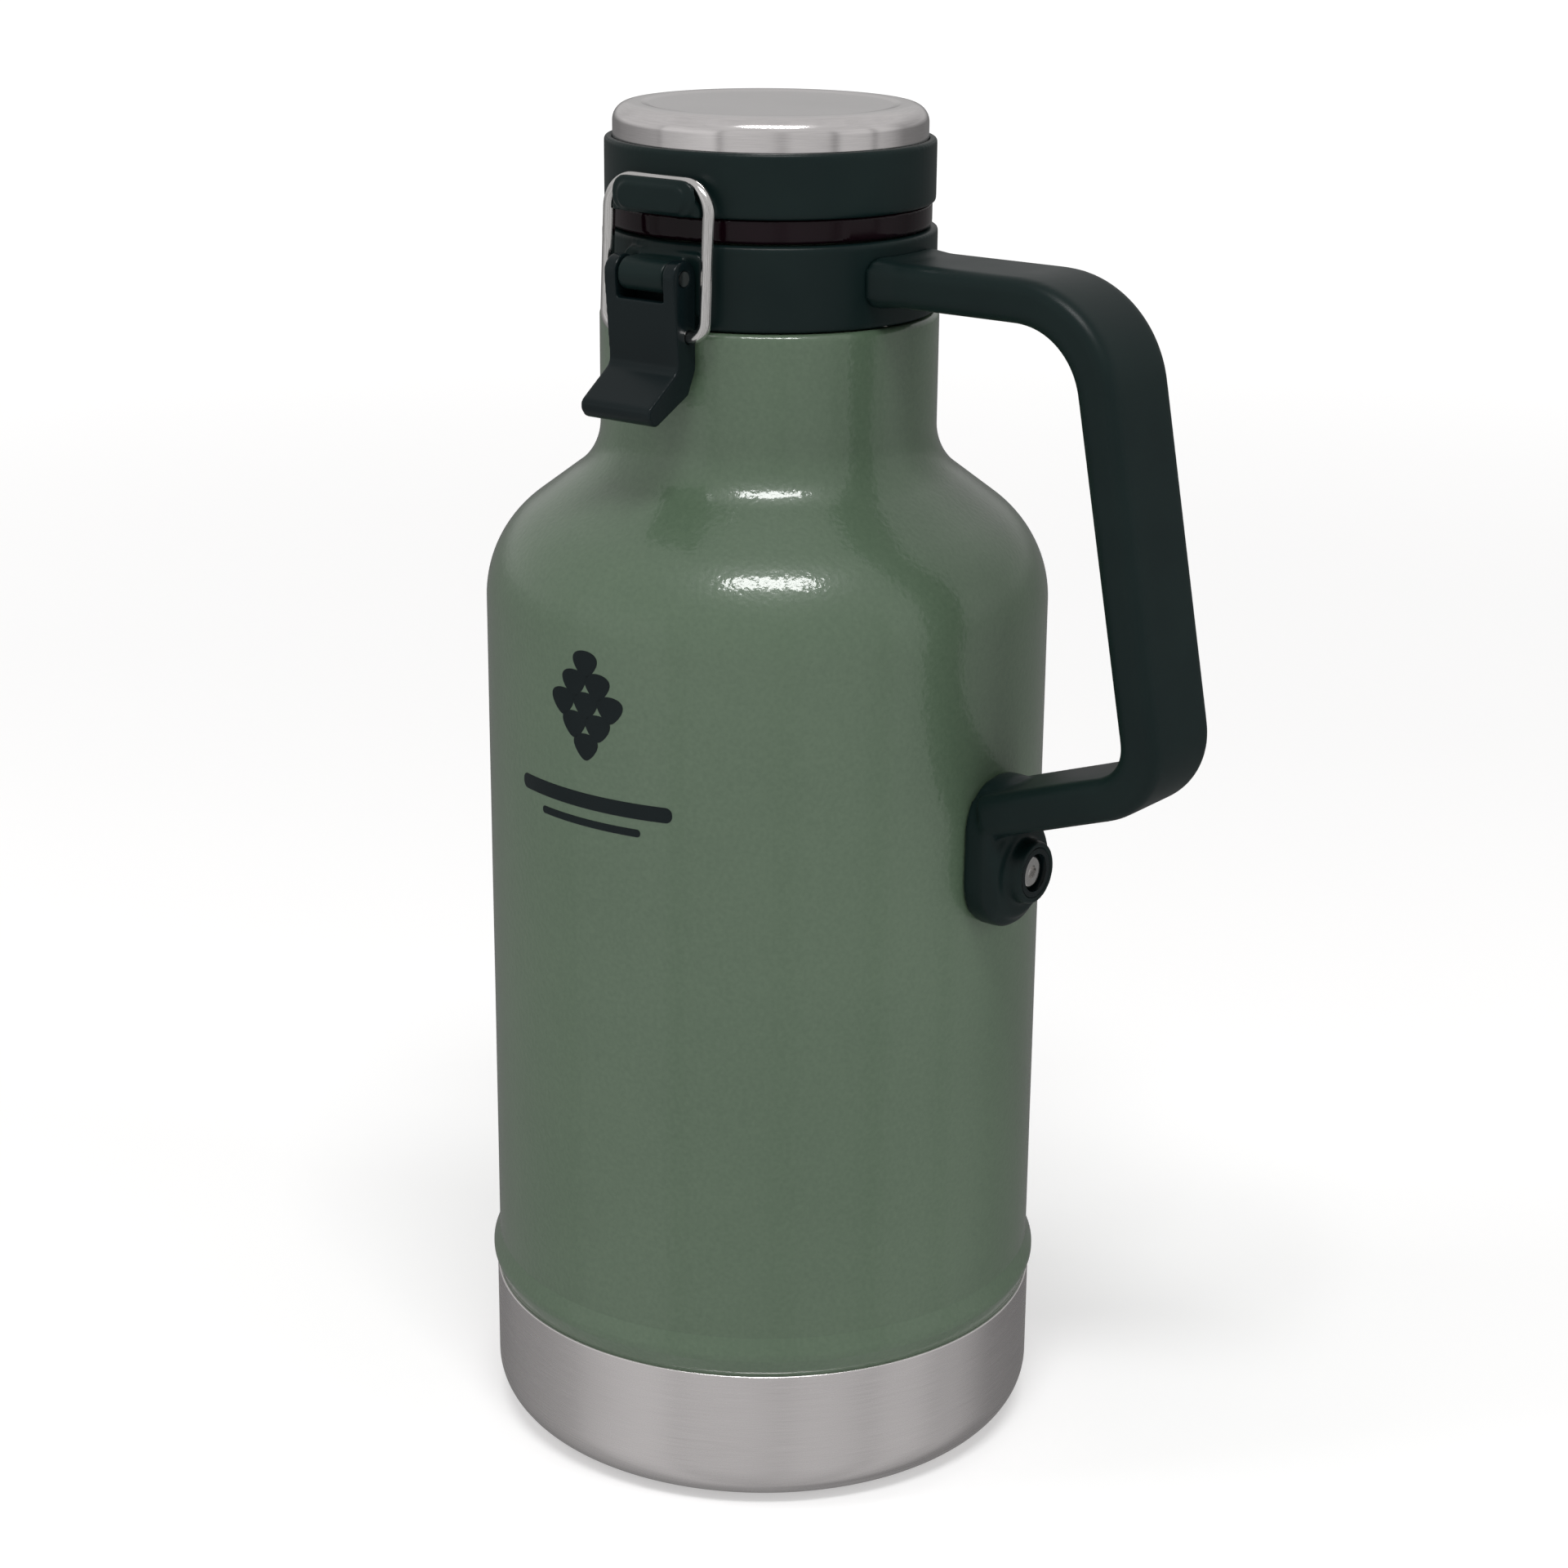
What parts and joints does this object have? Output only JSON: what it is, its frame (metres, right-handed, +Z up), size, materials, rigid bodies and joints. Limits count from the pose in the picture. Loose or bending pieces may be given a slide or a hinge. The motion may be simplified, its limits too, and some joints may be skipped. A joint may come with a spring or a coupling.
{
  "type": "vacuum growler",
  "caption": "Tall vacuum-insulated growler with a hinged stopper lid, a wire-loop toggle latch, an angular side handle and a steel base cup.",
  "frame": {"origin": "centre of the flat underside of the base cup", "axes": "+Z up along the bottle's axis, -Y towards the latch, +X towards the handle, +Y towards the lid hinge"},
  "size_m": [0.1637, 0.1218, 0.2883],
  "materials": {
    "green_paint": "hammered gloss paint",
    "brushed_steel": "brushed",
    "bright_steel": "bright drawn wire",
    "plain_steel": "plain",
    "dark_plastic": "satin moulded",
    "lever_plastic": "satin moulded",
    "purple_plastic": "gloss moulded",
    "seal_rubber": "matt silicone",
    "plug_plastic": "satin moulded",
    "foam": "closed-cell foam"
  },
  "bodies": {
    "bottle": {"outer_shell": "green_paint", "shell_bottom": "plain_steel", "getter": "plain_steel", "base_cup": "brushed_steel", "inner_liner": "plain_steel", "liner_bottom": "plain_steel", "collar": "dark_plastic", "handle": "dark_plastic", "handle_pins": "plain_steel", "foot_stud": "plain_steel", "foot_screw": "bright_steel", "foot_bush": "lever_plastic", "lever_pin": "bright_steel", "hinge_pin": "bright_steel"},
    "lid": {"lid_ring": "dark_plastic", "lid_cap": "brushed_steel", "cap_foam": "foam", "stopper_flange": "purple_plastic", "lid_screws": "plain_steel", "plug_cup": "plug_plastic", "plug_base": "plug_plastic", "plug_foam": "foam", "plug_gasket": "seal_rubber", "rim_gasket": "seal_rubber"},
    "lever": {"latch_lever": "lever_plastic"},
    "loop": {"bail": "bright_steel"}
  },
  "joints": [
    {"name": "lid_hinge", "type": "hinge", "parent": "bottle", "child": "lid", "pos_m": [0, 0.0389, 0.26643], "axis": [-1, 0, 0], "range_deg": [0, 105]},
    {"name": "lever_swing", "type": "hinge", "parent": "bottle", "child": "lever", "pos_m": [0, -0.0388, 0.25783], "axis": [-1, 0, 0], "range_deg": [0, 110]},
    {"name": "bail_swing", "type": "hinge", "parent": "lever", "child": "loop", "pos_m": [0, -0.0372, 0.24623], "axis": [-1, 0, 0], "range_deg": [-176, 0]}
  ],
  "couplings": [
    {"joint": "bail_swing", "follows": "lever_swing", "ratio": -1.6}
  ]
}
